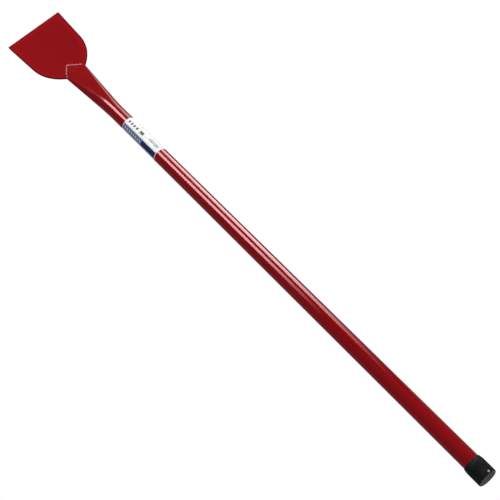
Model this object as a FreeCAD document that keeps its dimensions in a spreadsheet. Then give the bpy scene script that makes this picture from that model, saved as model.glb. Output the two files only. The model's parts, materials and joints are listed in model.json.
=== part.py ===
import FreeCAD, Part
import math
import os
import re
import Sketcher

from FreeCAD import Placement, Rotation, Vector

# Roofing shovel: a flat steel blade welded into the flattened end of a straight steel tube.
#
# Frame: the origin is the centre of the butt cap's end face, on the axis of the tube.
# +X runs along the tube to the cutting edge, +Y across the blade and +Z out of its front face.

# Driving dimensions, in millimetres and degrees.
SIZES = {
    "overall_length": 1406,      # butt cap's end face to the cutting edge
    "tube_diameter": 31.75,      # 1 1/4 in steel tube
    "tube_wall": 2,
    "flare_start": 1080,         # where the round tube starts to be pressed flat
    "facet_tip_width": 3,        # width of the pressed facet where it starts
    "facet_shift": -4,           # the facet starts this far to the -Y side of the axis
    "neck_station": 1229,        # where the tube is fully flat and the blade leaves it
    "flat_width": 50.5,          # width of the fully flattened tube
    "tip_length": 29,            # how far the pointed end of the tube reaches over the blade
    "tip_offset": 5.5,           # the point was cut this far to the +Y side of the axis
    "plate_thickness": 3.4,      # 10 gauge plate
    "blade_width": 140,          # along the cutting edge
    "side_length": 99.5,         # straight side of the blade, measured along X
    "side_taper": 2.9,           # each side closes by this angle towards the neck
    "bevel_length": 12,          # ground on the back of the cutting edge
    "edge_thickness": 1.2,       # steel left at the cutting edge
    "tang_width": 40,            # at the neck
    "tang_end_width": 28,
    "tang_length": 66,
    "weld_radius": 3,
    "weld_inset": 5,             # each bead stops this far short of the blade's edge
    "label_start": 911,
    "label_length": 114,
    "label_thickness": 0.2,
    "label_seam": 12,            # gap between the label's ends, as an angle
    "cap_length": 37,
    "cap_wall": 2.4,
    "cap_end": 3,                # thickness of the cap's closed end
    "cap_round": 2.5,
    "mouth_wall": 1.5,           # the cap's wall thins to this at its mouth
    "mouth_taper": 8,
    "mouth_round": 0.5,
}

TOP, LEFT, BOTTOM, RIGHT = range(4)
START, END, CENTRE = 1, 2, 3
ORIGIN = (-1, 1)
H_AXIS, V_AXIS = -1, -2


def make_sheet(doc):
    sheet = doc.addObject("Spreadsheet::Sheet", "Dims")
    for row, (alias, size) in enumerate(SIZES.items(), start=1):
        sheet.set(f"A{row}", alias)
        sheet.set(f"B{row}", str(size))
        sheet.setAlias(f"B{row}", alias)
    doc.recompute()
    return sheet


def evaluate(formula):
    """Value of a formula in the sheet's aliases, used to draw geometry near its final place."""
    return float(doc.Dims.evalExpression(formula))


def bound(formula):
    """The same formula as an expression that reads every alias from the sheet."""
    aliases = "|".join(SIZES)
    return re.sub(rf"\b({aliases})\b", r"Dims.\1", formula)


def new_body(name):
    body = doc.addObject("PartDesign::Body", name)
    body.Label = name
    return body


def new_sketch(body, name, role, offset=None):
    """Sketch on one of the body's origin planes, moved along its normal by a formula."""
    sketch = body.newObject("Sketcher::SketchObject", name)
    plane = next(item for item in body.Origin.OriginFeatures if item.Role == role)
    sketch.AttachmentSupport = [(plane, "")]
    sketch.MapMode = "FlatFace"
    if offset:
        sketch.setExpression("AttachmentOffset.Base.z", bound(offset))
    return sketch


def size(sketch, formula, kind, *where):
    """Add a dimension whose value follows a formula in the sheet's aliases."""
    index = sketch.addConstraint(Sketcher.Constraint(kind, *where, evaluate(formula)))
    sketch.setExpression(f"Constraints[{index}]", bound(formula))


def join(sketch, kind, *where):
    sketch.addConstraint(Sketcher.Constraint(kind, *where))


def add_polygon(sketch, points):
    """Closed polygon; its corners are pinned by pairs of formulas for x and y."""
    corners = [Vector(evaluate(x), evaluate(y), 0) for x, y in points]
    first = sketch.GeometryCount
    count = len(corners)
    for i in range(count):
        sketch.addGeometry(Part.LineSegment(corners[i], corners[(i + 1) % count]), False)
    for i, (x, y) in enumerate(points):
        join(sketch, "Coincident", first + i, END, first + (i + 1) % count, START)
        pin_point(sketch, first + i, START, x, y)


def pin_point(sketch, geo, point, x, y):
    """Fix one point by its distances from the sketch's axes."""
    for kind, formula in (("DistanceX", x), ("DistanceY", y)):
        if abs(evaluate(formula)) < 1e-9:
            join(sketch, "PointOnObject", geo, point, V_AXIS if kind == "DistanceX" else H_AXIS)
        else:
            size(sketch, formula, kind, *ORIGIN, geo, point)


def add_circle(sketch, radius):
    geo = sketch.addGeometry(Part.Circle(Vector(), Vector(0, 0, 1), evaluate(radius)), False)
    join(sketch, "Coincident", geo, CENTRE, *ORIGIN)
    size(sketch, radius, "Radius", geo)


def add_round_profile(sketch, radius):
    """A circle in four arcs: each one is lofted into one edge of the flat profile."""
    middle = f"facet_shift * ({radius}) / (tube_diameter / 2)"
    right_x = f"{middle} + facet_tip_width / 2"
    left_x = f"{middle} - facet_tip_width / 2"
    right, left = (math.acos(evaluate(x) / evaluate(radius)) for x in (right_x, left_x))
    starts = [right, left, 2 * math.pi - left, 2 * math.pi - right]
    ends = starts[1:] + [2 * math.pi + right]
    circle = Part.Circle(Vector(), Vector(0, 0, 1), evaluate(radius))
    for begin, finish in zip(starts, ends):
        sketch.addGeometry(Part.ArcOfCircle(circle, begin, finish), False)
    for arc in (TOP, LEFT, BOTTOM, RIGHT):
        join(sketch, "Coincident", arc, END, (arc + 1) % 4, START)
    for arc in (TOP, LEFT, BOTTOM):
        join(sketch, "Coincident", arc, CENTRE, *ORIGIN)
    join(sketch, "PointOnObject", RIGHT, CENTRE, V_AXIS)
    size(sketch, radius, "Radius", TOP)
    for arc, point, x in ((TOP, START, right_x), (TOP, END, left_x),
                          (BOTTOM, START, left_x), (BOTTOM, END, right_x)):
        size(sketch, x, "DistanceX", *ORIGIN, arc, point)


def add_flat_profile(sketch, half_height):
    """Slot outline of the pressed tube: two flats joined by two half circles."""
    half_flat = "(flat_width - plate_thickness) / 2 - tube_wall"
    reach = evaluate(half_flat)
    rise = evaluate(half_height)
    first = sketch.GeometryCount
    top, left, bottom, right = range(first, first + 4)
    axis = Vector(0, 0, 1)
    left_circle = Part.Circle(Vector(-reach, 0, 0), axis, rise)
    right_circle = Part.Circle(Vector(reach, 0, 0), axis, rise)
    sketch.addGeometry(Part.LineSegment(Vector(reach, rise, 0), Vector(-reach, rise, 0)), False)
    sketch.addGeometry(Part.ArcOfCircle(left_circle, math.pi / 2, 3 * math.pi / 2), False)
    sketch.addGeometry(Part.LineSegment(Vector(-reach, -rise, 0), Vector(reach, -rise, 0)), False)
    sketch.addGeometry(Part.ArcOfCircle(right_circle, -math.pi / 2, math.pi / 2), False)
    for one, other in ((top, left), (left, bottom), (bottom, right), (right, top)):
        join(sketch, "Tangent", one, END, other, START)
    join(sketch, "Horizontal", top)
    join(sketch, "Equal", left, right)
    join(sketch, "PointOnObject", left, CENTRE, H_AXIS)
    size(sketch, f"-({half_flat})", "DistanceX", *ORIGIN, left, CENTRE)
    size(sketch, half_flat, "DistanceX", *ORIGIN, right, CENTRE)
    size(sketch, half_height, "Radius", left)


def pad(body, sketch, name, length, symmetric=False):
    feature = body.newObject("PartDesign::Pad", name)
    feature.Profile = sketch
    feature.Midplane = symmetric
    feature.setExpression("Length", bound(length))
    doc.recompute()
    return feature


def cut_through(body, sketch, name):
    """Pocket both ways through the body; it must take some of the solid away."""
    before = body.Shape.Volume
    feature = body.newObject("PartDesign::Pocket", name)
    feature.Profile = sketch
    feature.Type = "ThroughAll"
    feature.Midplane = True
    doc.recompute()
    assert body.Shape.Volume < before, f"{name} removed nothing"
    return feature


def loft(body, kind, name, first, last):
    feature = body.newObject(f"PartDesign::{kind}", name)
    feature.Profile = first
    feature.Sections = [last]
    feature.Ruled = True
    doc.recompute()
    return feature


def make_handle_tube():
    """Straight tube, pressed flat at one end, with that end cut to a point over the blade."""
    body = new_body("handle_tube")

    stock = new_sketch(body, "tube_section", "YZ_Plane", "cap_end")
    add_circle(stock, "tube_diameter / 2")
    add_circle(stock, "tube_diameter / 2 - tube_wall")
    pad(body, stock, "round_stretch", "flare_start - cap_end")

    outer_start = new_sketch(body, "flare_outside_start", "YZ_Plane", "flare_start")
    add_round_profile(outer_start, "tube_diameter / 2")
    outer_end = new_sketch(body, "flare_outside_end", "YZ_Plane", "neck_station")
    add_flat_profile(outer_end, "plate_thickness / 2 + tube_wall")
    loft(body, "AdditiveLoft", "flare_outside", outer_start, outer_end)

    inner_start = new_sketch(body, "flare_inside_start", "YZ_Plane", "flare_start")
    add_round_profile(inner_start, "tube_diameter / 2 - tube_wall")
    inner_end = new_sketch(body, "flare_inside_end", "YZ_Plane", "neck_station")
    add_flat_profile(inner_end, "plate_thickness / 2")
    loft(body, "SubtractiveLoft", "flare_inside", inner_start, inner_end)

    flat = new_sketch(body, "flat_section", "YZ_Plane", "neck_station")
    add_flat_profile(flat, "plate_thickness / 2 + tube_wall")
    pad(body, flat, "flat_stretch", "tip_length")

    # Past the neck the tube is slit along both sides, so that the blade can leave it.
    slit = new_sketch(body, "blade_slit", "XZ_Plane")
    add_polygon(slit, [
        ("neck_station", "-plate_thickness / 2"),
        ("neck_station + 2 * tip_length", "-plate_thickness / 2"),
        ("neck_station + 2 * tip_length", "plate_thickness / 2"),
        ("neck_station", "plate_thickness / 2"),
    ])
    cut_through(body, slit, "slit")

    waste = new_sketch(body, "point_waste", "XY_Plane")
    add_polygon(waste, [
        ("neck_station", "flat_width"),
        ("neck_station", "flat_width / 2"),
        ("neck_station + tip_length", "tip_offset"),
        ("neck_station", "-flat_width / 2"),
        ("neck_station", "-flat_width"),
        ("neck_station + 2 * tip_length", "-flat_width"),
        ("neck_station + 2 * tip_length", "flat_width"),
    ])
    cut_through(body, waste, "pointed_end")
    return body


def add_blade_outline(sketch):
    """Cutting edge, two tapered sides, two round shoulders, and the tang inside the tube."""
    edge_x = evaluate("overall_length")
    side_x = evaluate("overall_length - side_length")
    side_y = evaluate("blade_width / 2 - side_length * tan(side_taper)")
    neck = Vector(evaluate("neck_station"), evaluate("flat_width / 2"), 0)
    corner = Vector(edge_x, evaluate("blade_width / 2"), 0)
    shoulder = Vector(side_x, side_y, 0)
    tang_root = Vector(neck.x, evaluate("tang_width / 2"), 0)
    tang_end = Vector(evaluate("neck_station - tang_length"), evaluate("tang_end_width / 2"), 0)

    # Circle tangent to the side at the shoulder and passing through the neck.
    taper = math.radians(evaluate("side_taper"))
    inward = Vector(math.sin(taper), -math.cos(taper), 0)
    chord = neck - shoulder
    radius = chord.Length ** 2 / (2 * chord.dot(inward))
    centre = shoulder + inward * radius

    def flip(point):
        return Vector(point.x, -point.y, 0)

    def line(start, end):
        return sketch.addGeometry(Part.LineSegment(start, end), False)

    def shoulder_arc(middle, begin, finish):
        circle = Part.Circle(middle, Vector(0, 0, 1), radius)
        angles = [math.atan2(p.y - middle.y, p.x - middle.x) % (2 * math.pi) for p in (begin, finish)]
        return sketch.addGeometry(Part.ArcOfCircle(circle, *angles), False)

    edge = line(flip(corner), corner)
    left_side = line(corner, shoulder)
    left_arc = shoulder_arc(centre, shoulder, neck)
    left_step = line(neck, tang_root)
    left_tang = line(tang_root, tang_end)
    tang_tip = line(tang_end, flip(tang_end))
    right_tang = line(flip(tang_end), flip(tang_root))
    right_step = line(flip(tang_root), flip(neck))
    right_arc = shoulder_arc(flip(centre), flip(neck), flip(shoulder))
    right_side = line(flip(shoulder), flip(corner))

    ring = [edge, left_side, left_arc, left_step, left_tang,
            tang_tip, right_tang, right_step, right_arc, right_side]
    smooth = {(left_side, left_arc), (right_arc, right_side)}
    for one, other in zip(ring, ring[1:] + ring[:1]):
        kind = "Tangent" if (one, other) in smooth else "Coincident"
        join(sketch, kind, one, END, other, START)

    side_end_y = "blade_width / 2 - side_length * tan(side_taper)"
    for sign, side, near, far in (("", left_side, START, END), ("-", right_side, END, START)):
        pin_point(sketch, side, near, "overall_length", f"{sign}blade_width / 2")
        pin_point(sketch, side, far, "overall_length - side_length", f"{sign}({side_end_y})")
    pin_point(sketch, left_step, START, "neck_station", "flat_width / 2")
    pin_point(sketch, right_step, END, "neck_station", "-flat_width / 2")
    pin_point(sketch, left_tang, START, "neck_station", "tang_width / 2")
    pin_point(sketch, right_tang, END, "neck_station", "-tang_width / 2")
    pin_point(sketch, tang_tip, START, "neck_station - tang_length", "tang_end_width / 2")
    pin_point(sketch, tang_tip, END, "neck_station - tang_length", "-tang_end_width / 2")


def make_blade():
    body = new_body("blade")
    outline = new_sketch(body, "blade_outline", "XY_Plane")
    add_blade_outline(outline)
    pad(body, outline, "blade_plate", "plate_thickness", symmetric=True)

    # The wedge ground off the back leaves a thin edge level with the front face.
    bevel = new_sketch(body, "bevel_waste", "XZ_Plane")
    add_polygon(bevel, [
        ("overall_length - bevel_length", "-plate_thickness / 2"),
        ("overall_length + bevel_length", "-plate_thickness / 2"),
        ("overall_length + bevel_length", "plate_thickness * 3 / 2 - 2 * edge_thickness"),
    ])
    cut_through(body, bevel, "cutting_edge_bevel")
    return body


def add_primitive(kind, name, formulas):
    item = doc.addObject(f"Part::{kind}", name)
    for prop, formula in formulas.items():
        item.setExpression(prop, bound(formula))
    return item


def make_weld_front(tube, blade):
    """Rounded bead along both cut edges of the pointed tube end, seated on the blade."""
    tip = Vector(evaluate("neck_station + tip_length"), evaluate("tip_offset"), 0)
    pieces = []
    for side, sign in (("left", ""), ("right", "-")):
        neck_y = f"({sign}flat_width / 2)"
        arm = f"sqrt(tip_length^2 + ({neck_y} - tip_offset)^2)"
        along = Vector(evaluate("neck_station"), evaluate(neck_y), 0) - tip
        run = add_primitive("Cylinder", f"weld_{side}_run", {
            "Radius": "weld_radius",
            "Height": f"{arm} - weld_inset",
            "Placement.Base.x": "neck_station + tip_length",
            "Placement.Base.y": "tip_offset",
            "Placement.Base.z": "plate_thickness / 2",
        })
        run.Placement = Placement(run.Placement.Base, Rotation(Vector(0, 0, 1), along))
        stop = add_primitive("Sphere", f"weld_{side}_end", {
            "Radius": "weld_radius",
            "Placement.Base.x": f"neck_station + tip_length * weld_inset / {arm}",
            "Placement.Base.y": f"{neck_y} + (tip_offset - {neck_y}) * weld_inset / {arm}",
            "Placement.Base.z": "plate_thickness / 2",
        })
        pieces += [run, stop]
    pieces.append(add_primitive("Sphere", "weld_tip", {
        "Radius": "weld_radius",
        "Placement.Base.x": "neck_station + tip_length",
        "Placement.Base.y": "tip_offset",
        "Placement.Base.z": "plate_thickness / 2",
    }))
    bead = doc.addObject("Part::MultiFuse", "weld_bead")
    bead.Shapes = pieces

    steel = doc.addObject("Part::MultiFuse", "joined_steel")
    steel.Shapes = [tube, blade]
    weld = doc.addObject("Part::Cut", "weld_front")
    weld.Label = "weld_front"
    weld.Base = bead
    weld.Tool = steel
    return weld


def make_weld_back(weld_front):
    weld = doc.addObject("Part::Mirroring", "weld_back")
    weld.Label = "weld_back"
    weld.Source = weld_front
    weld.Base = Vector(0, 0, 0)
    weld.Normal = Vector(0, 0, 1)
    return weld


def revolve(body, sketch, name, degrees, symmetric=False):
    """Turn a sketch of the XZ plane about the axis of the tube."""
    axis = next(item for item in body.Origin.OriginFeatures if item.Role == "X_Axis")
    feature = body.newObject("PartDesign::Revolution", name)
    feature.Profile = sketch
    feature.ReferenceAxis = (axis, [""])
    feature.Midplane = symmetric
    feature.setExpression("Angle", bound(degrees))
    doc.recompute()
    return feature


def round_rim(body, name, station, rim_radius, fillet):
    """Fillet the circular edge of this radius at this distance along the axis."""
    base = body.Tip
    names = []
    for number, edge in enumerate(base.Shape.Edges, start=1):
        if not isinstance(edge.Curve, Part.Circle):
            continue
        at_station = abs(edge.Curve.Center.x - evaluate(station)) < 1e-6
        if at_station and abs(edge.Curve.Radius - evaluate(rim_radius)) < 1e-6:
            names.append(f"Edge{number}")
    feature = body.newObject("PartDesign::Fillet", name)
    feature.Base = (base, names)
    feature.setExpression("Radius", bound(fillet))
    doc.recompute()


def make_label():
    """Thin printed wrap; its two ends stop short of each other on the back of the tube."""
    body = new_body("label")
    strip = new_sketch(body, "label_section", "XZ_Plane")
    inside = "tube_diameter / 2"
    outside = "tube_diameter / 2 + label_thickness"
    add_polygon(strip, [
        ("label_start", inside),
        ("label_start + label_length", inside),
        ("label_start + label_length", outside),
        ("label_start", outside),
    ])
    revolve(body, strip, "label_wrap", "360 - label_seam", symmetric=True)
    return body


def make_end_cap():
    """Push-on vinyl cap: a cup with a closed end, thinning towards its mouth."""
    body = new_body("end_cap")
    profile = new_sketch(body, "cap_section", "XZ_Plane")
    outside = "tube_diameter / 2 + cap_wall"
    mouth = "tube_diameter / 2 + mouth_wall"
    add_polygon(profile, [
        ("0", "0"),
        ("0", outside),
        ("cap_length - mouth_taper", outside),
        ("cap_length", mouth),
        ("cap_length", "tube_diameter / 2"),
        ("cap_end", "tube_diameter / 2"),
        ("cap_end", "0"),
    ])
    revolve(body, profile, "cap_cup", "360")
    round_rim(body, "closed_end_rim", "0", outside, "cap_round")
    round_rim(body, "mouth_rim", "cap_length", mouth, "mouth_round")
    return body


def write_parts(doc, parts):
    doc.recompute()
    for item in doc.Objects:
        assert not {"Invalid", "Error"} & set(item.State), f"{item.Name} failed"
    for part in parts:
        assert not part.Shape.isNull() and part.Shape.isValid(), f"{part.Label} has no valid shape"
        assert len(part.Shape.Solids) == 1, f"{part.Label} is not one solid"
    os.makedirs("parts", exist_ok=True)
    for part in parts:
        part.Shape.exportStep(f"parts/{part.Label}.step")
        box = part.Shape.BoundBox
        print(f"{part.Label}: {part.Shape.Volume:.0f} mm3,"
              f" x {box.XMin:.2f}..{box.XMax:.2f},"
              f" y {box.YMin:.2f}..{box.YMax:.2f},"
              f" z {box.ZMin:.2f}..{box.ZMax:.2f}")


doc = FreeCAD.newDocument("roofing_shovel")
make_sheet(doc)
handle_tube = make_handle_tube()
blade = make_blade()
weld_front = make_weld_front(handle_tube, blade)
weld_back = make_weld_back(weld_front)
label = make_label()
end_cap = make_end_cap()
write_parts(doc, [handle_tube, blade, weld_front, weld_back, label, end_cap])
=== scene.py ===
import bmesh
import bpy
import json
import math
from mathutils import Euler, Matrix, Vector, noise

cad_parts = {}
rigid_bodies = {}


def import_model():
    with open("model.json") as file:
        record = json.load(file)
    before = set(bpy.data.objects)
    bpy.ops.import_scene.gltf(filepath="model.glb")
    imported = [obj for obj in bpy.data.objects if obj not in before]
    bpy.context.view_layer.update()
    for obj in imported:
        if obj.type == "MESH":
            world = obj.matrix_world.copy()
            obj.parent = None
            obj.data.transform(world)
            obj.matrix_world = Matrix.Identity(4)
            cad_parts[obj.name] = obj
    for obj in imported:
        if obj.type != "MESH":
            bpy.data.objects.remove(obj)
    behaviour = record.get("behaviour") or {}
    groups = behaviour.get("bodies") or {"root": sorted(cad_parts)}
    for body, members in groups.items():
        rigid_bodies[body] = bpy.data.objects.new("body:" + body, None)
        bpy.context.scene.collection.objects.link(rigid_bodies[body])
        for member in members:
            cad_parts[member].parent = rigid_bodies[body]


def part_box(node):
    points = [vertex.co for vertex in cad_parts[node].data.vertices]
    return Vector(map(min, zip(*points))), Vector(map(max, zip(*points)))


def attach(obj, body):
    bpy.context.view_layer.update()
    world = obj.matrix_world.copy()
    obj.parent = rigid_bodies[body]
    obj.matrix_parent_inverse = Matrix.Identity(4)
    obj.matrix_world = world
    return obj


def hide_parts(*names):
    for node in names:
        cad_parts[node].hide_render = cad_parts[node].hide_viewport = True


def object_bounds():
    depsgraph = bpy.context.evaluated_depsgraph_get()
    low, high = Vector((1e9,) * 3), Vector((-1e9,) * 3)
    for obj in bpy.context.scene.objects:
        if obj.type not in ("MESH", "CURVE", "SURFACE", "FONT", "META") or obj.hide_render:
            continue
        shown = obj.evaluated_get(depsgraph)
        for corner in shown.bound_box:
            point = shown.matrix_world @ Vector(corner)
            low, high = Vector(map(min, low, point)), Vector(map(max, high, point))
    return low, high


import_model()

cad_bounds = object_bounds()
floor_height = cad_bounds[0].z

# Lengths are in millimetres, and turned into metres by this where Blender takes them. Places of the
# camera, lights and floor are in metres.
MM = 0.001


def box_mm(node):
    """Lowest and highest corners of a CAD node, in millimetres."""
    return [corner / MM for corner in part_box(node)]


tube_low, tube_high = box_mm("handle_tube")
blade_low, blade_high = box_mm("blade")
label_low, label_high = box_mm("label")
cap_low, cap_high = box_mm("end_cap")

# Camera: where it aims on the tool, and how it looks at it. Degrees and metres.
AIM = Vector((0.6083, 0.0086, 0.0))
HEADING = -21.82
LOOK_DOWN = 58.05
ROLL = -19.98
DISTANCE = 2.0239
LENS = 77.4     # mm
SENSOR = 36.0   # mm

# Sizes and places read from the node boxes.
TUBE_RADIUS = tube_high.z
FLAT_HALF_WIDTH = tube_high.y
TIP_STATION = tube_high.x
PLATE = blade_high.z - blade_low.z
CAP_END = tube_low.x - cap_low.x

# Shapes the node boxes do not give, in millimetres and degrees.
TUBE_WALL = 2.0
FLARE_LENGTH = 149.0        # over which the tube is pressed flat
SOFT_IN = 50.0              # the pressing starts gradually over this length
SOFT_OUT = 10.0             # and ends gradually over this one
SINK_POWER = 1.3            # the height lags behind the width by this power
OVAL_UNTIL = 0.20           # the section is a plain oval until it is pressed this much
FACET_TIP_WIDTH = 3.0
FACET_SHIFT = -4.0
TIP_OFFSET = 5.5
SIDE_LENGTH = 99.5
SIDE_TAPER = 2.9
SIDE_ROUND = 0.8
PLAN_ROUND = 1.6
BEVEL_LENGTH = 12.0
EDGE_THICKNESS = 1.2
EDGE_ROUND = 0.35
TANG_LENGTH = 66.0
TANG_WIDTH = 40.0
TANG_END_WIDTH = 28.0
WELD_RADIUS = 3.0
WELD_INSET = 5.0
BEAD_STEP = 0.5             # between loops along the bead
BEAD_CLOSE = 2.2            # length over which each end of the bead closes
SCALLOP_PITCH = 2.3
SCALLOP_LEAN = 1.1
LABEL_SEAM = 12.0
CAP_ROUND = 2.5
DISH_DEPTH = 0.25           # hollow in the cap's end
DISH_SHARE = 0.80           # of the cap's radius
MOUTH_WALL = 1.5
MOUTH_TAPER = 8.0
MOUTH_ROUND = 0.5
GAP = 0.01                  # between the tube and what is wrapped or pushed over it
AXIS_HOLE = 0.05            # radius of the small ring that closes the cap on its axis
# Where the painted glint sits on the cap, in mm.
GLINT_SPOT = Vector((5.0, -5.8, 17.3))

NECK = blade_low.x + TANG_LENGTH
FLARE_START = NECK - FLARE_LENGTH
FLAT_HALF_HEIGHT = PLATE / 2 + TUBE_WALL


# ---------------------------------------------------------------- camera, floor and lights

WHITE = (1, 1, 1, 1)


def make_camera():
    data = bpy.data.cameras.new("camera")
    data.lens = LENS
    data.sensor_width = SENSOR
    camera = bpy.data.objects.new("camera", data)
    heading, down = math.radians(HEADING), math.radians(LOOK_DOWN)
    ahead = Vector((math.cos(down) * math.cos(heading), math.cos(down) * math.sin(heading), -math.sin(down)))
    turn = ahead.to_track_quat("-Z", "Y") @ Euler((0, 0, math.radians(ROLL))).to_quaternion()
    camera.rotation_mode = "QUATERNION"
    camera.rotation_quaternion = turn
    camera.location = AIM - ahead * DISTANCE
    bpy.context.scene.collection.objects.link(camera)
    bpy.context.scene.camera = camera


class Nodes:
    """Short calls for building one node tree."""

    def __init__(self, tree):
        self.tree = tree
        tree.nodes.clear()

    def add(self, kind, inputs=None, **settings):
        node = self.tree.nodes.new("ShaderNode" + kind)
        for name, value in settings.items():
            setattr(node, name, value)
        for name, value in (inputs or {}).items():
            self.set(node, name, value)
        return node

    def set(self, node, name, value):
        if isinstance(value, bpy.types.NodeSocket):
            self.tree.links.new(value, node.inputs[name])
        else:
            node.inputs[name].default_value = value

    def math(self, operation, *values):
        node = self.add("Math", operation=operation)
        for index, value in enumerate(values):
            self.set(node, index, value)
        return node.outputs[0]

    def ramp(self, value, low, high, start=0.0, end=1.0):
        """Value mapped softly from the range low to high onto start to end."""
        inputs = {0: value, 1: low, 2: high, 3: start, 4: end}
        return self.add("MapRange", inputs, interpolation_type="SMOOTHSTEP").outputs[0]

    def mix(self, factor, one, other):
        """Colour mixed from one to other."""
        return self.add("Mix", {0: factor, 6: one, 7: other}, data_type="RGBA").outputs[2]

    def noise(self, place, scale, detail=2.0, roughness=0.5, distortion=0.0):
        node = self.add("TexNoise", {"Vector": place, "Scale": scale, "Detail": detail,
                                     "Roughness": roughness, "Distortion": distortion})
        return node.outputs[0]

    def stretched(self, factors):
        """Object coordinates scaled separately along each axis."""
        place = self.add("TexCoord").outputs["Object"]
        return self.add("Mapping", {"Vector": place, "Scale": factors}).outputs[0]

    def finish_surface(self, shader):
        self.add("OutputMaterial", {"Surface": shader.outputs[0]})


def new_material(name):
    material = bpy.data.materials.new(name)
    material.use_nodes = True
    return material, Nodes(material.node_tree)


def by_ray(nodes, camera, glossy, other):
    """Light strength that differs for what the camera sees, for reflections and for diffuse light."""
    path = nodes.add("LightPath")
    rest = nodes.math("ADD", other, nodes.math("MULTIPLY", path.outputs["Is Glossy Ray"], glossy - other))
    unseen = nodes.math("MULTIPLY", rest, nodes.math("SUBTRACT", 1.0, path.outputs["Is Camera Ray"]))
    return nodes.math("ADD", unseen, nodes.math("MULTIPLY", path.outputs["Is Camera Ray"], camera))


def make_world():
    world = bpy.data.worlds.new("studio")
    world.use_nodes = True
    nodes = Nodes(world.node_tree)
    strength = by_ray(nodes, camera=1.0, glossy=0.05, other=0.58)
    sky = nodes.add("Background", {"Color": WHITE, "Strength": strength})
    nodes.add("OutputWorld", {"Surface": sky.outputs[0]})
    bpy.context.scene.world = world


def make_floor():
    mesh = bpy.data.meshes.new("floor")
    middle, half = 0.7, 15.0
    signs = ((-1, -1), (1, -1), (1, 1), (-1, 1))
    corners = [(middle + half * x, half * y, floor_height) for x, y in signs]
    mesh.from_pydata(corners, [], [(0, 1, 2, 3)])
    floor = bpy.data.objects.new("floor", mesh)
    bpy.context.scene.collection.objects.link(floor)
    material, nodes = new_material("floor")
    strength = by_ray(nodes, camera=1.0, glossy=0.10, other=0.35)
    glow = nodes.add("Emission", {"Color": WHITE, "Strength": strength})
    # Seen from below, the floor is clear, so the tool's underside shows.
    below = nodes.add("NewGeometry").outputs["Backfacing"]
    clear = nodes.add("BsdfTransparent")
    nodes.finish_surface(nodes.add("MixShader", {0: below, 1: glow.outputs[0], 2: clear.outputs[0]}))
    mesh.materials.append(material)


def make_softbox(name, corners, strength, fade_in, fade_out):
    """Flat glowing panel that only shows in reflections. It fades in and out over ranges of x."""
    mesh = bpy.data.meshes.new(name)
    mesh.from_pydata(corners, [], [range(len(corners))])
    panel = bpy.data.objects.new(name, mesh)
    bpy.context.scene.collection.objects.link(panel)
    material, nodes = new_material(name)
    along = nodes.add("SeparateXYZ", {0: nodes.add("TexCoord").outputs["Object"]}).outputs["X"]
    lit = nodes.math("MULTIPLY", nodes.ramp(along, *fade_in), nodes.ramp(along, *fade_out, 1.0, 0.0))
    glow = nodes.add("Emission", {"Color": WHITE, "Strength": nodes.math("MULTIPLY", lit, strength)})
    nodes.finish_surface(glow)
    mesh.materials.append(material)
    panel.visible_camera = False
    panel.visible_diffuse = False
    return panel


def make_fill(name, place, power):
    """Soft area light aimed at the start of the flare that adds no reflection of its own."""
    aim = Vector((1.1, 0, 0))
    data = bpy.data.lights.new(name, "AREA")
    data.energy = power
    data.size = 1.0
    light = bpy.data.objects.new(name, data)
    light.location = place
    light.rotation_euler = (aim - light.location).to_track_quat("-Z", "Y").to_euler()
    light.visible_glossy = False
    bpy.context.scene.collection.objects.link(light)


def make_lights():
    # Overhead panel: the narrow streak along the tube. Its near edge turns away above the blade.
    ceiling = 1.0
    overhead = [(0.70, -0.24), (1.98, -0.24), (2.26, -0.05), (2.26, 0.33), (0.70, 0.33)]
    top = make_softbox("light_top", [(x, y, ceiling) for x, y in overhead], 7.4,
                       fade_in=(0.84, 1.22), fade_out=(2.12, 2.25))
    # Side panel: the wide streak near the tube's upper edge.
    wall = -1.0
    upright = [(0.50, floor_height), (2.60, floor_height), (2.60, 0.95), (0.50, 0.95)]
    side = make_softbox("light_side", [(x, wall, z) for x, z in upright], 6.6,
                        fade_in=(0.62, 1.20), fade_out=(1.33, 2.27))
    # Panel past the blade: the sheen on the weld's upper arm. Both fades lie off it, so it glows evenly.
    far = [(2.81, -1.28, 0.05), (3.07, -0.86, 0.05), (3.07, -0.86, 0.75), (2.81, -1.28, 0.75)]
    weld = make_softbox("light_weld", far, 7.5, fade_in=(0, 1), fade_out=(8, 9))
    make_fill("light_key", (0.9, -1.8, 1.5), 30)
    make_fill("light_low", (3.0, -0.6, 0.35), 60)
    return [top, side, weld]


def keep_to(panels, pieces):
    """Panels that show only in these pieces, so that they don't mirror in the flat blade."""
    receivers = bpy.data.collections.new("panel_receivers")
    for piece in pieces:
        receivers.objects.link(piece)
    for panel in panels:
        panel.light_linking.receiver_collection = receivers


# ---------------------------------------------------------------- materials

# Linear colours.
RED_DULL = (0.262, 0.0035, 0.0062, 1)
RED_CLEAR = (0.300, 0.0040, 0.0070, 1)
# Painted highlight: the band of brighter paint just inside the blade's edges.
RED_PAINTED_LIGHT = (0.345, 0.0035, 0.0075, 1)
# Painted shade for the paint next to edges and creases.
RED_SHADED = (0.095, 0.0042, 0.0060, 1)
RED_SPECK = (0.12, 0.003, 0.005, 1)
RED_SHEEN = (1.0, 0.20, 0.25, 1.0)
BLACK_DEEP = (0.0045, 0.0065, 0.0070, 1)
BLACK_SOFT = (0.0105, 0.0120, 0.0130, 1)
# Painted reflection on the cap's end face.
END_GLARE_GREY = (0.190, 0.190, 0.192, 1)
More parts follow.
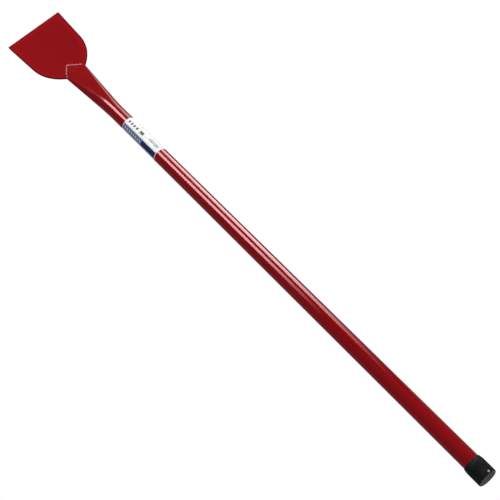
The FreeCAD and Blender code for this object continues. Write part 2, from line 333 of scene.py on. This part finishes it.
# Painted glint on the cap's side.
GLINT_GREY = (0.42, 0.42, 0.42, 1)
FILM_WHITE = (0.90, 0.91, 0.92, 1)
NAVY_DEEP = (0.012, 0.026, 0.115, 1)
NAVY_SOFT = (0.017, 0.034, 0.135, 1)
STRIPE_BLUE = (0.155, 0.185, 0.370, 1)
TICK_BLUE = (0.62, 0.66, 0.80, 1)
BLOCK_BLACK = (0.085, 0.085, 0.095, 1)
BLOCK_OLIVE = (0.115, 0.150, 0.105, 1)
RULE_GREY = (0.36, 0.36, 0.38, 1)
GRIME = (0.50, 0.48, 0.46, 1)


def enamel(name, dark=None, painted_light=None, rough=(0.07, 0.13), coat_rough=0.045):
    """Glossy red paint: cloudy colour, orange peel, uneven gloss and small dust specks.

    The attribute rim is a distance in mm from an edge or a crease. Up to the range dark the colour is
    darker, a painted shade, and within the two ranges after it brighter, a painted highlight beside the
    edge.
    """
    material, nodes = new_material(name)
    place = nodes.stretched((1, 1, 1))
    clouds = nodes.noise(place, 9.0, detail=5.0, roughness=0.6)
    colour = nodes.mix(nodes.ramp(clouds, 0.3, 0.7), RED_DULL, RED_CLEAR)
    rim = nodes.add("Attribute", attribute_name="rim").outputs["Fac"]
    # Painted highlight: a brighter band a few mm inside the edge.
    if painted_light:
        wander = nodes.math("ADD", rim, nodes.ramp(nodes.noise(place, 160.0), 0.3, 0.7, -0.6, 0.6))
        rise, fall = nodes.ramp(wander, *painted_light[0]), nodes.ramp(wander, *painted_light[1], 1.0, 0.0)
        colour = nodes.mix(nodes.math("MULTIPLY", rise, fall), colour, RED_PAINTED_LIGHT)
    # Painted shade: darker close to an edge or a crease.
    if dark:
        colour = nodes.mix(nodes.ramp(rim, *dark, 1.0, 0.0), colour, RED_SHADED)
    specks = nodes.ramp(nodes.noise(place, 900.0, detail=1.0), 0.70, 0.76)
    colour = nodes.mix(nodes.math("MULTIPLY", specks, 0.35), colour, RED_SPECK)
    gloss = nodes.noise(nodes.stretched((0.35, 1, 1)), 70.0, detail=4.0)
    peel = nodes.noise(place, 420.0, detail=2.0)
    sags = nodes.noise(place, 38.0, detail=1.0)
    height = nodes.math("ADD", nodes.math("MULTIPLY", peel, 0.25), nodes.math("MULTIPLY", sags, 0.75))
    bump = nodes.add("Bump", {"Height": height, "Strength": 0.15, "Distance": 0.00025})
    paint = nodes.add("BsdfPrincipled", {
        "Base Color": colour,
        "Roughness": nodes.ramp(gloss, 0.3, 0.7, *rough),
        "Normal": bump.outputs[0],
        "IOR": 1.5,
        "Specular Tint": RED_SHEEN,
        "Coat Weight": 1.0,
        "Coat Roughness": coat_rough,
        "Coat Normal": bump.outputs[0],
    })
    nodes.finish_surface(paint)
    return material


def vinyl():
    """Soft black moulded vinyl with a fine pebble, uneven sheen, a painted reflection on the end and one
    painted glint.
    """
    material, nodes = new_material("vinyl")
    place = nodes.stretched((1, 1, 1))
    mottle = nodes.noise(place, 70.0, detail=6.0, roughness=0.65)
    colour = nodes.mix(nodes.ramp(mottle, 0.35, 0.7), BLACK_DEEP, BLACK_SOFT)
    grain = nodes.noise(nodes.stretched((0.4, 1.6, 1.6)), 150.0, detail=6.0, distortion=0.6)
    # Painted reflection: the cap's end face is lighter grey, broken into patches.
    glare_patches = nodes.ramp(nodes.ramp(grain, 0.40, 0.70), 0.0, 1.0, 0.45, 1.0)
    end_glare = nodes.ramp(nodes.add("SeparateXYZ", {0: place}).outputs["X"], 0.0004, 0.0018, 1.0, 0.03)
    colour = nodes.mix(nodes.math("MULTIPLY", glare_patches, end_glare), colour, END_GLARE_GREY)
    # Painted glint: a small pale spot on the cap's side near its end.
    away = nodes.add("VectorMath", {0: place, 1: GLINT_SPOT * MM}, operation="DISTANCE").outputs["Value"]
    away = nodes.math("ADD", away, nodes.ramp(nodes.noise(place, 800.0), 0.3, 0.7, -0.0004, 0.0004))
    colour = nodes.mix(nodes.ramp(away, 0.0012, 0.0026, 1.0, 0.0), colour, GLINT_GREY)
    rough = nodes.ramp(mottle, 0.3, 0.7, 0.36, 0.52)
    pebble = nodes.noise(place, 900.0, detail=2.0)
    height = nodes.math("ADD", nodes.math("MULTIPLY", pebble, 0.4), nodes.math("MULTIPLY", mottle, 0.6))
    bump = nodes.add("Bump", {"Height": height, "Strength": 0.4, "Distance": 0.0003})
    skin = nodes.add("BsdfPrincipled", {
        "Base Color": colour, "Roughness": rough, "Normal": bump.outputs[0],
        "Specular IOR Level": 0.25,
    })
    nodes.finish_surface(skin)
    return material


def printed_film():
    """White film printed with a blue stripe, tick blocks, plain dark blocks and grey rules.

    UV x runs along the label in mm from its blade end; UV y is the angle round the tube in degrees
    from the front face, growing towards +Y.
    """
    material, nodes = new_material("printed_film")
    uv = nodes.add("SeparateXYZ", {0: nodes.add("UVMap", uv_map="label").outputs[0]})
    along, round_ = uv.outputs["X"], uv.outputs["Y"]
    place = nodes.stretched((1, 1, 1))

    def between(value, low, high):
        return nodes.math("COMPARE", value, (low + high) / 2, (high - low) / 2)

    def block(x0, x1, a0, a1):
        return nodes.math("MULTIPLY", between(along, x0, x1), between(round_, a0, a1))

    def repeat(value, pitch, filled):
        """1 over the filled share of every pitch, 0 over the rest."""
        return nodes.math("LESS_THAN", nodes.math("FRACT", nodes.math("DIVIDE", value, pitch)), filled)

    navy = nodes.mix(nodes.noise(place, 300.0, detail=3.0), NAVY_DEEP, NAVY_SOFT)
    colour = nodes.mix(block(1.5, 112.5, 27, 74), FILM_WHITE, navy)
    colour = nodes.mix(block(1.5, 66, 31, 72), colour, STRIPE_BLUE)
    ticks = nodes.math("MULTIPLY", block(5, 63, 40, 62), repeat(along, 7.3, 0.40))
    colour = nodes.mix(ticks, colour, TICK_BLUE)
    dark = nodes.math("MULTIPLY", block(6, 42, -17, 5), repeat(nodes.math("ADD", along, 3.0), 9.0, 0.5))
    colour = nodes.mix(dark, colour, BLOCK_BLACK)
    colour = nodes.mix(block(46, 58, -20, 6), colour, BLOCK_OLIVE)
    rules = nodes.math("MULTIPLY", block(74, 106, -31.5, -5), repeat(round_, 10.5, 0.72))
    colour = nodes.mix(rules, colour, RULE_GREY)
    grime = nodes.ramp(nodes.noise(place, 45.0, detail=6.0, roughness=0.65), 0.52, 0.80, 0.0, 0.10)
    colour = nodes.mix(grime, colour, GRIME)
    rough = nodes.ramp(nodes.noise(place, 120.0, detail=3.0), 0.3, 0.7, 0.26, 0.40)
    creases = nodes.noise(place, 130.0, detail=3.0)
    bump = nodes.add("Bump", {"Height": creases, "Strength": 0.1, "Distance": 0.0002})
    film = nodes.add("BsdfPrincipled", {
        "Base Color": colour, "Roughness": rough, "Normal": bump.outputs[0],
        "Specular IOR Level": 0.35,
    })
    nodes.finish_surface(film)
    return material


# ---------------------------------------------------------------- mesh helpers

def loops_to_mesh(name, loops, capped=True):
    """Quads through successive closed loops of points in mm. Uncapped, the last loop joins the first."""
    count = len(loops[0])
    points = [(x * MM, y * MM, z * MM) for loop in loops for x, y, z in loop]
    faces = []
    spans = len(loops) if not capped else len(loops) - 1
    for i in range(spans):
        here, ahead = i * count, (i + 1) % len(loops) * count
        for j in range(count):
            k = (j + 1) % count
            faces.append((here + j, here + k, ahead + k, ahead + j))
    if capped:
        faces.append(tuple(range(count - 1, -1, -1)))
        faces.append(tuple((len(loops) - 1) * count + j for j in range(count)))
    mesh = bpy.data.meshes.new(name)
    mesh.from_pydata(points, [], faces)
    tidy_mesh(mesh)
    return mesh


def tidy_mesh(mesh, sharp=32):
    """Faces turned outwards, smooth shading, and edges sharper than the angle kept sharp."""
    shape = bmesh.new()
    shape.from_mesh(mesh)
    bmesh.ops.recalc_face_normals(shape, faces=shape.faces)
    shape.to_mesh(mesh)
    shape.free()
    mesh.shade_smooth()
    mesh.set_sharp_from_angle(angle=math.radians(sharp))


def set_rim(mesh, distances):
    """Distance in mm of each point from an edge or a crease, read by the enamel."""
    mesh.attributes.new("rim", "FLOAT", "POINT").data.foreach_set("value", distances)


def make_piece(name, mesh, node, material):
    mesh.materials.clear()
    mesh.materials.append(material)
    piece = bpy.data.objects.new(name, mesh)
    bpy.context.scene.collection.objects.link(piece)
    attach(piece, "root")
    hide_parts(node)
    return piece


def cut_away(name, mesh, cutters):
    """Mesh with the cutter meshes taken out of it."""
    scene = bpy.context.scene.collection.objects
    body = bpy.data.objects.new(name, mesh)
    scene.link(body)
    tools = []
    for cutter in cutters:
        tool = bpy.data.objects.new(cutter.name, cutter)
        scene.link(tool)
        tools.append(tool)
        cut = body.modifiers.new(cutter.name, "BOOLEAN")
        cut.operation = "DIFFERENCE"
        cut.solver = "EXACT"
        cut.object = tool
    result = bpy.data.meshes.new_from_object(body.evaluated_get(bpy.context.evaluated_depsgraph_get()))
    for leftover in (body, *tools):
        bpy.data.objects.remove(leftover)
    tidy_mesh(result)
    return result


def prism(name, outline, low, high):
    """Upright prism over an outline of (x, y) points."""
    return loops_to_mesh(name, [[(x, y, z) for x, y in outline] for z in (low, high)])


def spread(start, end, count):
    """Evenly spaced values from start to end, over count gaps."""
    return [start + (end - start) * i / count for i in range(count + 1)]


# ---------------------------------------------------------------- the pieces

def pressed(station):
    """How far the tube is pressed flat at a station: 0 round, 1 flat. Its slope changes softly."""
    slope = 1 / (FLARE_LENGTH - SOFT_OUT / 2)
    if station <= FLARE_START - SOFT_IN / 2:
        return 0.0
    if station < FLARE_START + SOFT_IN / 2:
        return slope * (station - FLARE_START + SOFT_IN / 2) ** 2 / (2 * SOFT_IN)
    if station < NECK - SOFT_OUT:
        return slope * (station - FLARE_START)
    if station < NECK:
        return 1 - slope * (NECK - station) ** 2 / (2 * SOFT_OUT)
    return 1.0


def tube_section(station, inset):
    """Closed loop round the tube: a circle that turns oval, then into a slot outline, as it is pressed.

    The inset moves the loop inwards, to the tube's bore.
    """
    radius = TUBE_RADIUS - inset
    rise = FLAT_HALF_HEIGHT - inset
    reach = FLAT_HALF_WIDTH - FLAT_HALF_HEIGHT
    middle = FACET_SHIFT * radius / TUBE_RADIUS
    right = math.acos((middle + FACET_TIP_WIDTH / 2) / radius)
    left = math.acos((middle - FACET_TIP_WIDTH / 2) / radius)
    turn, half = 2 * math.pi, math.pi / 2
    flat, arc = 16, 40
    # Each stretch: angles on the circle, number of points, and the point on the slot outline.
    stretches = [
        (right, left, flat, lambda t: (reach * (1 - 2 * t), rise)),
        (left, turn - left, arc, lambda t: (-reach + rise * math.cos(half + math.pi * t),
                                            rise * math.sin(half + math.pi * t))),
        (turn - left, turn - right, flat, lambda t: (-reach * (1 - 2 * t), -rise)),
        (turn - right, turn + right, arc, lambda t: (reach + rise * math.cos(-half + math.pi * t),
                                                     rise * math.sin(-half + math.pi * t))),
    ]
    amount = pressed(station)
    sunk = amount ** SINK_POWER
    oval = min(max(amount - OVAL_UNTIL, 0.0) / (1 - OVAL_UNTIL), 1.0)
    oval = 1 - oval * oval * (3 - 2 * oval)
    wide = radius + (FLAT_HALF_WIDTH - inset - radius) * amount
    tall = radius + (rise - radius) * sunk
    loop = []
    for begin, finish, count, slot in stretches:
        for i in range(count):
            t = i / count
            angle = begin + (finish - begin) * t
            slot_y, slot_z = slot(t)
            y = (1 - amount) * radius * math.cos(angle) + amount * slot_y
            z = (1 - sunk) * radius * math.sin(angle) + sunk * slot_z
            y += (wide * math.cos(angle) - y) * oval
            z += (tall * math.sin(angle) - z) * oval
            loop.append((station, y, z))
    return loop


def make_tube(paint):
    # Loops far apart along the plain tube, and close together through the flare.
    stations = spread(tube_low.x, FLARE_START - 15, 28) + spread(FLARE_START - 12, NECK, 58)
    stations += [TIP_STATION]
    outside = [tube_section(x, 0) for x in stations]
    inside = [tube_section(x, TUBE_WALL) for x in reversed(stations)]
    shell = loops_to_mesh("tube_shell", outside + inside, capped=False)
    # The cutters reach well past the tube on every side.
    past, wide, tall = TIP_STATION + 20, 60, 30
    waste = prism("point_waste", [
        (NECK, wide), (NECK, FLAT_HALF_WIDTH), (TIP_STATION, TIP_OFFSET), (NECK, -FLAT_HALF_WIDTH),
        (NECK, -wide), (past, -wide), (past, wide)], -tall, tall)
    slit = prism("blade_slit", [(NECK, -wide), (past, -wide), (past, wide), (NECK, wide)],
                 -PLATE / 2, PLATE / 2)
    return make_piece("tube", cut_away("tube_cut", shell, [slit, waste]), "handle_tube", paint)


def blade_half_width(station):
    """Half width of the blade: the tang, the round shoulder, then the straight tapered side."""
    edge, side_x = blade_high.x, blade_high.x - SIDE_LENGTH
    taper = math.radians(SIDE_TAPER)
    side_y = blade_high.y - SIDE_LENGTH * math.tan(taper)
    if station < NECK:
        share = (station - blade_low.x) / (NECK - blade_low.x)
        return (TANG_END_WIDTH + (TANG_WIDTH - TANG_END_WIDTH) * share) / 2
    if station >= side_x:
        return blade_high.y - (edge - station) * math.tan(taper)
    inward = Vector((math.sin(taper), -math.cos(taper)))
    shoulder, neck = Vector((side_x, side_y)), Vector((NECK, FLAT_HALF_WIDTH))
    chord = neck - shoulder
    radius = chord.length_squared / (2 * chord.dot(inward))
    centre = shoulder + inward * radius
    return centre.y + math.sqrt(radius ** 2 - (station - centre.x) ** 2)


# Rows of points on the blade: depths in from its sides past their round, and distances back from the
# cutting edge.
SIDE_ROWS = (1.5, 2.2, 3.0, 4.5, 6.5, 9.0, 12.5)
EDGE_ROWS = (22, 16, BEVEL_LENGTH, 9, 6.5, 4.5, 3, 2.2, 1.5, 1.1, 0.8, 0.5, 0.3, 0.15, 0.05, 0)


def blade_section(station, width, low, high):
    """Closed loop round the plate at one station, with rounded sides.

    Each point comes with its depth in from the nearer side.
    """
    corner = min(SIDE_ROUND, (high - low) * 0.45)
    angles = [math.radians(angle) for angle in (0, 30, 60, 90)]
    side = [(corner * (1 - math.cos(a)), corner * (1 - math.sin(a))) for a in angles]
    side += [(depth, 0.0) for depth in SIDE_ROWS]
    inner = width - SIDE_ROWS[-1]
    across = [(width - depth, drop, depth) for depth, drop in side]
    across += [(y, 0.0, width - abs(y)) for y in spread(inner, -inner, 10)[1:-1]]
    across += [(depth - width, drop, depth) for depth, drop in reversed(side)]
    top = [((station, y, high - drop), depth) for y, drop, depth in across]
    bottom = [((station, y, low + drop), depth) for y, drop, depth in reversed(across)]
    return top + bottom


def rounded_off(radius, back):
    """How far a corner of this radius draws in at a distance back from its end."""
    if back >= radius:
        return 0.0
    return radius - math.sqrt(radius ** 2 - (radius - back) ** 2)


def make_blade(paint):
    edge = blade_high.x
    stations = spread(blade_low.x, NECK - 0.5, 6)
    stations += spread(NECK, NECK + 4, 4) + spread(NECK + 7, edge - 30, 34)
    stations += [edge - back for back in EDGE_ROWS]
    loops, rims = [], []
    for station in stations:
        back = edge - station
        pull = rounded_off(EDGE_ROUND, back)
        bevel = (PLATE - EDGE_THICKNESS) * max(0.0, 1 - back / BEVEL_LENGTH)
        width = blade_half_width(station) - rounded_off(PLAN_ROUND, back)
        section = blade_section(station, width, blade_low.z + bevel + pull, blade_high.z - pull)
        loops.append([point for point, depth in section])
        rims += [min(depth, back) for point, depth in section]
    mesh = loops_to_mesh("blade_plate", loops)
    set_rim(mesh, rims)
    make_piece("blade_plate", mesh, "blade", paint)


def bead_path():
    """Evenly spaced points along both arms of the weld, eased round its tip."""
    tip = Vector((TIP_STATION, TIP_OFFSET, PLATE / 2))
    ends = []
    for side in (1, -1):
        neck = Vector((NECK, side * FLAT_HALF_WIDTH, PLATE / 2))
        ends.append(neck + (tip - neck).normalized() * WELD_INSET)
    points = []
    for start, finish in ((ends[0], tip), (tip, ends[1])):
        count = round((finish - start).length / BEAD_STEP)
        points += [start.lerp(finish, i / count) for i in range(count)]
    points.append(ends[1])
    smooth = list(points)
    near = 4
    for i in range(near, len(points) - near):
        smooth[i] = sum(points[i - near:i + near + 1], Vector()) / (2 * near + 1)
    return smooth


def make_bead(name, node, side, paint):
    """Rippled weld bead: overlapping scallops along the path, a little uneven in size."""
    path = bead_path()
    loops, creases = [], []
    count = 28
    for i, centre in enumerate(path):
        ahead = (path[min(i + 1, len(path) - 1)] - path[max(i - 1, 0)]).normalized()
        across = Vector((0, 0, 1)).cross(ahead)
        run = i * BEAD_STEP
        wander = noise.noise(Vector((run * 0.16, 3.1 * side, 0.0)))
        end = min(run, (len(path) - 1) * BEAD_STEP - run)
        taper = math.sqrt(max(0.0, 1 - (1 - min(end / BEAD_CLOSE, 1.0)) ** 2))
        loop = []
        for j in range(count):
            angle = 2 * math.pi * j / count
            # Scallops lean back along the bead away from its crest.
            phase = (run + SCALLOP_LEAN * (1 - abs(math.sin(angle)))) / SCALLOP_PITCH
            ripple = abs(math.sin(math.pi * phase))
            # The bead wanders a little in size, swells at each scallop and closes at its ends.
            radius = WELD_RADIUS * (0.86 + 0.09 * wander + 0.07 * ripple) * max(taper, 0.02)
            out = across * math.cos(angle) + Vector((0, 0, 1)) * math.sin(angle)
            point = centre + out * radius
            loop.append((point.x, point.y, point.z * side))
            # Height above the steel at the bead's foot: the blade on one side, the tube on the other.
            foot = PLATE / 2 if math.cos(angle) > 0 else PLATE / 2 + TUBE_WALL
            creases.append(point.z - foot)
        loops.append(loop)
    mesh = loops_to_mesh(name, loops)
    set_rim(mesh, creases)
    return make_piece(name, mesh, node, paint)


def make_label(film):
    """Thin wrap round the tube with its UV map in mm along and degrees round."""
    outside, inside = label_high.z, TUBE_RADIUS + GAP
    span = 180 - LABEL_SEAM / 2
    angles = spread(-span, span, 120)
    around = [(outside, angle) for angle in angles] + [(inside, angle) for angle in reversed(angles)]
    ring = [(radius * math.sin(math.radians(angle)), radius * math.cos(math.radians(angle)))
            for radius, angle in around]
    stations = spread(label_high.x, label_low.x, 12)
    mesh = loops_to_mesh("label_wrap", [[(station, y, z) for y, z in ring] for station in stations])
    layer = mesh.uv_layers.new(name="label")
    for corner, loop in zip(layer.data, mesh.loops):
        radius, angle = around[loop.vertex_index % len(around)]
        corner.uv = (label_high.x - mesh.vertices[loop.vertex_index].co.x / MM, angle)
    return make_piece("label_wrap", mesh, "label", film)


def make_cap(skin):
    """Butt cap turned from an outline: dished end, rounded rim, and a lip that thins to the mouth."""
    outer, bore, length = cap_high.z, TUBE_RADIUS, cap_high.x
    outline = [(DISH_DEPTH, AXIS_HOLE)]
    outline += [(DISH_DEPTH * (1 - t), outer * DISH_SHARE * t) for t in (0.35, 0.7, 1.0)]
    for angle in spread(0, math.pi / 2, 8):
        outline.append((CAP_ROUND * (1 - math.cos(angle)), outer - CAP_ROUND * (1 - math.sin(angle))))
    lip = length - MOUTH_TAPER
    outline += [(lip * t + CAP_ROUND * (1 - t), outer) for t in (0.3, 0.6, 0.9)]
    mouth = bore + MOUTH_WALL
    for t in spread(0, 1, 6):
        ease = t * t * (3 - 2 * t)
        outline.append((lip + (MOUTH_TAPER - MOUTH_ROUND) * t, outer - (outer - mouth) * ease))
    cut = 0.3 * MOUTH_ROUND
    outline += [
        (length - cut, mouth - cut), (length, mouth - MOUTH_ROUND),
        (length, bore + MOUTH_ROUND), (length - cut, bore + cut),
        (length - MOUTH_ROUND, bore + GAP), (CAP_END, bore + GAP), (CAP_END, AXIS_HOLE),
    ]
    sides = 96
    turns = [2 * math.pi * j / sides for j in range(sides)]
    loops = [[(x, radius * math.cos(a), radius * math.sin(a)) for a in turns] for x, radius in outline]
    return make_piece("butt_cap", loops_to_mesh("butt_cap", loops), "end_cap", skin)


bpy.context.scene.view_settings.view_transform = "Standard"
make_camera()
make_world()
make_floor()
panels = make_lights()
# The weld's paint: painted shade near the bead's foot, in the creases beside the steel.
weld_enamel = enamel("weld_enamel", dark=(0.05, 0.55), rough=(0.22, 0.34), coat_rough=0.17)
rounded = [
    make_tube(enamel("tube_enamel")),
    make_bead("bead_front", "weld_front", 1, weld_enamel),
    make_bead("bead_back", "weld_back", -1, weld_enamel),
    make_label(printed_film()),
    make_cap(vinyl()),
]
# The blade's paint: painted shade right at its edges, and a painted highlight band just inside them.
make_blade(enamel("blade_enamel", dark=(0.8, 3.8), painted_light=((2.0, 4.5), (7.0, 16.0))))
keep_to(panels, rounded)
